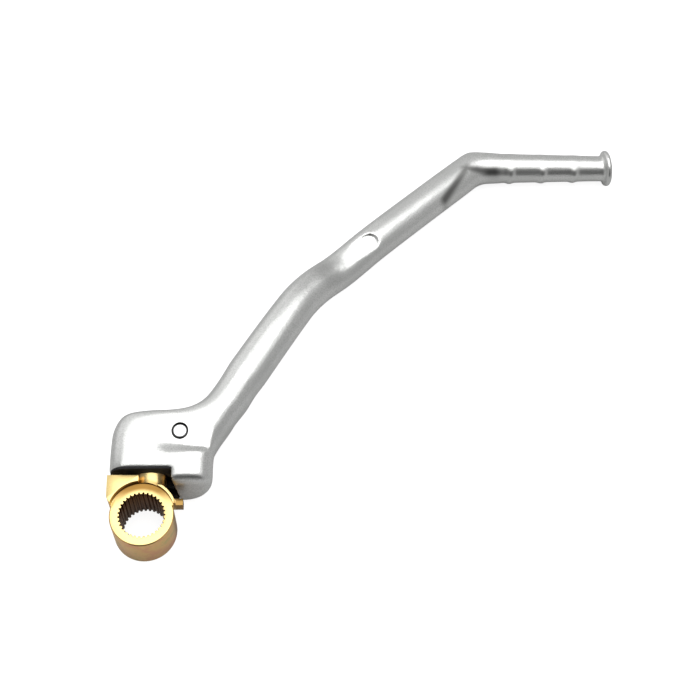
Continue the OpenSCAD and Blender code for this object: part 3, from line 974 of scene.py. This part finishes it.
@dataclass
class SplinedBoss:
    """The plated steel boss: splined ring, block with lugs, neck and pivot pin."""

    edge: float = 0.22 * MM
    edge_steps: int = 2
    edge_angle: float = 38.0
    flat_angle: float = 0.8
    smooth_angle: float = 32.0
    finish: GoldZinc = field(default_factory=GoldZinc)

    def build(self, node: bpy.types.Object) -> bpy.types.Object:
        """Copies the boss, breaks its sharp edges and dresses it.

        Args:
            node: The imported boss.

        Returns:
            The finished piece.
        """
        piece = copy_of_node(node, "plated_boss")
        shape = bmesh.new()
        shape.from_mesh(piece.data)
        bmesh.ops.dissolve_limit(shape, angle_limit=math.radians(self.flat_angle),
                                 verts=shape.verts, edges=shape.edges, delimit={"NORMAL"})
        shape.to_mesh(piece.data)
        shape.free()
        bevel = piece.modifiers.new("broken_edges", "BEVEL")
        bevel.width = self.edge
        bevel.segments = self.edge_steps
        bevel.limit_method = "ANGLE"
        bevel.angle_limit = math.radians(self.edge_angle)
        bevel.use_clamp_overlap = True
        settle(piece)
        smooth_below(piece, self.smooth_angle)
        piece.data.materials.append(self.finish.make())
        return finish_piece(piece, Body.BOSS, Slot.GOLD_ZINC, "splined_boss")


@dataclass
class DetentSpring:
    """The pressed coil spring behind the detent ball, swept along a spiral."""

    pivot: Pivot
    y: float = 28.5 * MM
    start: float = 14.887 * MM
    length: float = 9.0 * MM
    wire: float = 0.8 * MM
    coil_radius: float = 2.35 * MM
    turns: float = 5.0
    turn_points: int = 28
    wire_sides: int = 12
    finish: Steel = Steel("drawn_spring_steel", (0.5, 0.51, 0.53), (0.4, 0.4, 0.41), 0.3)

    def tree(self, material: bpy.types.Material) -> bpy.types.NodeTree:
        """Builds the Geometry Nodes tree that sweeps a round wire along a spiral.

        Args:
            material: The wire's material.

        Returns:
            The tree, with inputs for turns, coil radius, length and wire diameter.
        """
        group = bpy.data.node_groups.new("coil_spring", "GeometryNodeTree")
        face = group.interface
        for name, value in (("Turns", self.turns), ("Coil Radius", self.coil_radius),
                            ("Length", self.length), ("Wire", self.wire)):
            socket = face.new_socket(name, in_out="INPUT", socket_type="NodeSocketFloat")
            socket.default_value = value
        face.new_socket("Geometry", in_out="OUTPUT", socket_type="NodeSocketGeometry")
        nodes = NodeTree(group)
        given = nodes.add("NodeGroupInput")
        spiral = nodes.add("GeometryNodeCurveSpiral", Resolution=self.turn_points)
        rise = nodes.math("SUBTRACT", given.outputs["Length"], given.outputs["Wire"])
        nodes.link(given.outputs["Turns"], spiral.inputs["Rotations"])
        nodes.link(given.outputs["Coil Radius"], spiral.inputs["Start Radius"])
        nodes.link(given.outputs["Coil Radius"], spiral.inputs["End Radius"])
        nodes.link(rise, spiral.inputs["Height"])
        ring = nodes.add("GeometryNodeCurvePrimitiveCircle", Resolution=self.wire_sides)
        nodes.link(nodes.math("MULTIPLY", given.outputs["Wire"], 0.5), ring.inputs["Radius"])
        sweep = nodes.add("GeometryNodeCurveToMesh", Fill_Caps=True)
        nodes.link(spiral.outputs["Curve"], sweep.inputs["Curve"])
        nodes.link(ring.outputs["Curve"], sweep.inputs["Profile Curve"])
        real = nodes.add("GeometryNodeRealizeInstances")
        nodes.link(sweep.outputs["Mesh"], real.inputs["Geometry"])
        dress = nodes.add("GeometryNodeSetMaterial")
        dress.inputs["Material"].default_value = material
        nodes.link(real.outputs["Geometry"], dress.inputs["Geometry"])
        out = nodes.add("NodeGroupOutput")
        nodes.link(dress.outputs["Geometry"], out.inputs["Geometry"])
        return group

    def build(self) -> bpy.types.Object:
        """Builds the spring in its hole.

        Returns:
            The finished piece.
        """
        mesh = bpy.data.meshes.new("coil_spring")
        piece = bpy.data.objects.new("coil_spring", mesh)
        bpy.context.scene.collection.objects.link(piece)
        modifier = piece.modifiers.new("coil", "NODES")
        modifier.node_group = self.tree(self.finish.make())
        settle(piece)
        low = self.pivot.x + self.start + self.wire / 2
        lay = Matrix.Rotation(math.pi / 2, 4, "Y")
        piece.data.transform(Matrix.Translation((low, self.y, self.pivot.z)) @ lay)
        piece.data.shade_smooth()
        return finish_piece(piece, Body.LEVER, Slot.SPRING_STEEL, "detent_spring")


@dataclass
class SmallHardware:
    """The pin, ball, plug, O-ring and dust seal."""

    # The pin's rim beyond its unshaded radius carries painted shade.
    pin: Steel = Steel("pin_steel", (0.84, 0.84, 0.84), (0.74, 0.74, 0.74), 0.3,
                       unshaded_radius=2.75 * MM)
    steel: Steel = Steel("ground_steel", (0.8, 0.81, 0.82), (0.66, 0.67, 0.69), 0.2)
    plug: Steel = Steel("drawn_steel", (0.5, 0.51, 0.53), (0.38, 0.38, 0.4), 0.32)
    rubber: BlackRubber = field(default_factory=BlackRubber)
    smooth_angle: float = 32.0

    def build(self, nodes: dict[str, bpy.types.Object]) -> list[bpy.types.Object]:
        """Copies, smooths and dresses each small piece.

        Args:
            nodes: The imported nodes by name.

        Returns:
            The finished pieces.
        """
        steel, plug, rubber = self.steel.make(), self.plug.make(), self.rubber.make()
        plan = (
            ("cross_pin", "retaining_pin", Body.LEVER, Slot.BRIGHT_STEEL, self.pin.make()),
            ("seat_ball", "detent_ball", Body.LEVER, Slot.BRIGHT_STEEL, steel),
            ("spring_plug", "detent_plug", Body.LEVER, Slot.SPRING_STEEL, plug),
            ("grease_ring", "pivot_o_ring", Body.BOSS, Slot.RUBBER, rubber),
            # The dust seal's black rubber is partly a real seal and partly painted shade filling
            # the dark gap under the head.
            ("seal_plate_and_gap_shade", "dust_seal", Body.LEVER, Slot.RUBBER, rubber),
        )
        pieces = []
        for name, node, body, slot, material in plan:
            piece = copy_of_node(nodes[node], name)
            smooth_below(piece, self.smooth_angle)
            piece.data.materials.append(material)
            pieces.append(finish_piece(piece, body, slot, node))
        return pieces


@dataclass
class Studio:
    """Pale floor, overhead softbox, plain surround and the photograph's camera.

    The camera's offset is the origin as the camera sees it, and angles are in degrees. Each pair
    of numbers gives where a shade starts and where it is full.
    """

    swing: float = -5.9
    tilt: float = 26.5
    roll: float = -1.5
    offset: tuple[float, float, float] = (-97.376 * MM, -86.621 * MM, -661.765 * MM)
    focal_pixels: float = 1386.5
    image_pixels: float = 700.0
    sensor: float = 36.0
    sees_from: float = 0.01
    sees_to: float = 50.0
    box_height: float = 1.2
    box_half_across: float = 28.0
    box_half_along: float = 30.0
    box_lean: float = 8.0
    box_radiance: float = 1.85
    sides: tuple[float, float, float] = (0.4, 0.4, 0.4)
    behind: tuple[float, float, float] = (0.52, 0.52, 0.52)
    behind_at: tuple[float, float] = (0.2, 0.8)
    card: tuple[float, float, float] = (0.95, 0.95, 0.95)
    card_side: tuple[float, float, float] = (-0.66, 0.66, 0.36)
    card_at: tuple[float, float] = (0.78, 0.97)
    front: tuple[float, float, float] = (0.02, 0.02, 0.02)
    front_at: tuple[float, float] = (0.72, 0.94)
    white: tuple[float, float, float] = (1.0, 1.0, 1.0)
    floor_size: float = 12.0
    floor_gap: float = 0.02 * MM
    floor_colour: tuple[float, float, float] = (0.5, 0.5, 0.5)
    floor_roughness: float = 0.9
    floor_glow: float = 0.85
    floor_in_metal: float = 0.08
    sky_glow: float = 1.0
    sky_in_metal: float = 0.05

    def camera(self) -> None:
        """Places the camera where the photograph was taken from."""
        a, t, r = (math.radians(v) for v in (self.swing, self.tilt, self.roll))
        back = Vector((math.sin(a) * math.sin(t), -math.cos(a) * math.sin(t), math.cos(t)))
        level = (Vector((0, 1, 0)) - back * back.y).normalized()
        side = level.cross(back)
        right = math.cos(r) * side + math.sin(r) * level
        up = math.cos(r) * level - math.sin(r) * side
        turn = Matrix((right, up, back))
        eye = -(turn.transposed() @ Vector(self.offset))
        data = bpy.data.cameras.new("photo_camera")
        data.sensor_width = self.sensor
        data.lens = data.sensor_width * self.focal_pixels / self.image_pixels
        data.clip_start = self.sees_from
        data.clip_end = self.sees_to
        camera = bpy.data.objects.new("photo_camera", data)
        camera.matrix_world = Matrix.Translation(eye) @ turn.transposed().to_4x4()
        bpy.context.scene.collection.objects.link(camera)
        bpy.context.scene.camera = camera

    def softbox(self, centre: Vector) -> None:
        """Hangs the large softbox over the lever.

        Args:
            centre: The middle of the lever.
        """
        across = 2 * self.box_height * math.tan(math.radians(self.box_half_across))
        along = 2 * self.box_height * math.tan(math.radians(self.box_half_along))
        data = bpy.data.lights.new("softbox", "AREA")
        data.shape = "RECTANGLE"
        data.size = across
        data.size_y = along
        data.energy = self.box_radiance * math.pi * across * along
        light = bpy.data.objects.new("softbox", data)
        shift = self.box_height * math.tan(math.radians(self.box_lean))
        light.location = centre + Vector((0, shift, self.box_height))
        bpy.context.scene.collection.objects.link(light)

    def shown(self, tree: NodeTree, to_camera: float, in_metal: float) -> bpy.types.NodeSocket:
        """Says how much of the plain white background a ray meets.

        Args:
            tree: The tree of the floor or the world.
            to_camera: The share that the camera sees.
            in_metal: The share that metal and glass show.

        Returns:
            The share's socket.
        """
        path = tree.add("ShaderNodeLightPath")
        seen = tree.math("MULTIPLY", path.outputs["Is Camera Ray"], to_camera)
        through = tree.math("MAXIMUM", path.outputs["Is Glossy Ray"],
                            path.outputs["Is Transmission Ray"])
        return tree.math("MAXIMUM", seen, tree.math("MULTIPLY", through, in_metal))

    def surround(self) -> None:
        """Lights the sides: grey all round, palest behind on the left, dark in front."""
        world = bpy.data.worlds.new("surround")
        world.use_nodes = True
        tree = NodeTree(world.node_tree)
        sky = world.node_tree.nodes["Background"]
        direction = tree.add("ShaderNodeTexCoord").outputs["Generated"]
        x, y, _ = tree.axes(direction)
        grey = tree.blend(tree.span(y, *self.behind_at), self.sides, self.behind)
        card = tree.add("ShaderNodeVectorMath", operation="DOT_PRODUCT")
        tree.link(direction, card.inputs[0])
        card.inputs[1].default_value = self.card_side
        grey = tree.blend(tree.span(card.outputs["Value"], *self.card_at), grey, self.card)
        forward = tree.math("DIVIDE", tree.math("MULTIPLY", y, -1.0), tree.distance(x, y))
        colour = tree.blend(tree.span(forward, *self.front_at), grey, self.front)
        shown = self.shown(tree, self.sky_glow, self.sky_in_metal)
        tree.link(tree.blend(shown, colour, self.white), sky.inputs["Color"])
        bpy.context.scene.world = world

    def floor(self, level: float) -> None:
        """Lays the pale floor, which keeps a faint shadow.

        Args:
            level: The floor's height.
        """
        half = self.floor_size / 2
        mesh = bpy.data.meshes.new("floor")
        mesh.from_pydata([(-half, -half, level), (half, -half, level), (half, half, level),
                          (-half, half, level)], [], [(0, 1, 2, 3)])
        piece = bpy.data.objects.new("floor", mesh)
        bpy.context.scene.collection.objects.link(piece)
        material, tree, shader, _ = new_material("pale_floor")
        shader.inputs["Base Color"].default_value = (*self.floor_colour, 1.0)
        shader.inputs["Roughness"].default_value = self.floor_roughness
        shader.inputs["Specular IOR Level"].default_value = 0.0
        glow = tree.add("ShaderNodeEmission", Color=(*self.white, 1.0))
        tree.link(self.shown(tree, self.floor_glow, self.floor_in_metal), glow.inputs["Strength"])
        both = tree.add("ShaderNodeAddShader")
        tree.link(shader.outputs[0], both.inputs[0])
        tree.link(glow.outputs[0], both.inputs[1])
        surface = material.node_tree.nodes["Material Output"].inputs["Surface"]
        tree.link(both.outputs[0], surface)
        mesh.materials.append(material)
        piece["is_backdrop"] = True

    def build(self) -> None:
        """Builds the whole studio."""
        low, high = (Vector(v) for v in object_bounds())
        self.camera()
        self.softbox((low + high) / 2)
        self.surround()
        self.floor(low.z - self.floor_gap)
        bpy.context.scene.view_settings.view_transform = "Standard"


def main() -> None:
    """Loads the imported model, dresses each sub-assembly and sets up the studio."""
    logging.basicConfig(level=logging.INFO, format="%(message)s")
    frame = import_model()
    nodes = frame["nodes"]
    pivot = Pivot()
    ForgedLever(pivot).build(nodes["lever_arm"])
    SplinedBoss().build(nodes["splined_boss"])
    DetentSpring(pivot).build()
    SmallHardware().build(nodes)
    Studio().build()


if __name__ == "__main__":
    main()
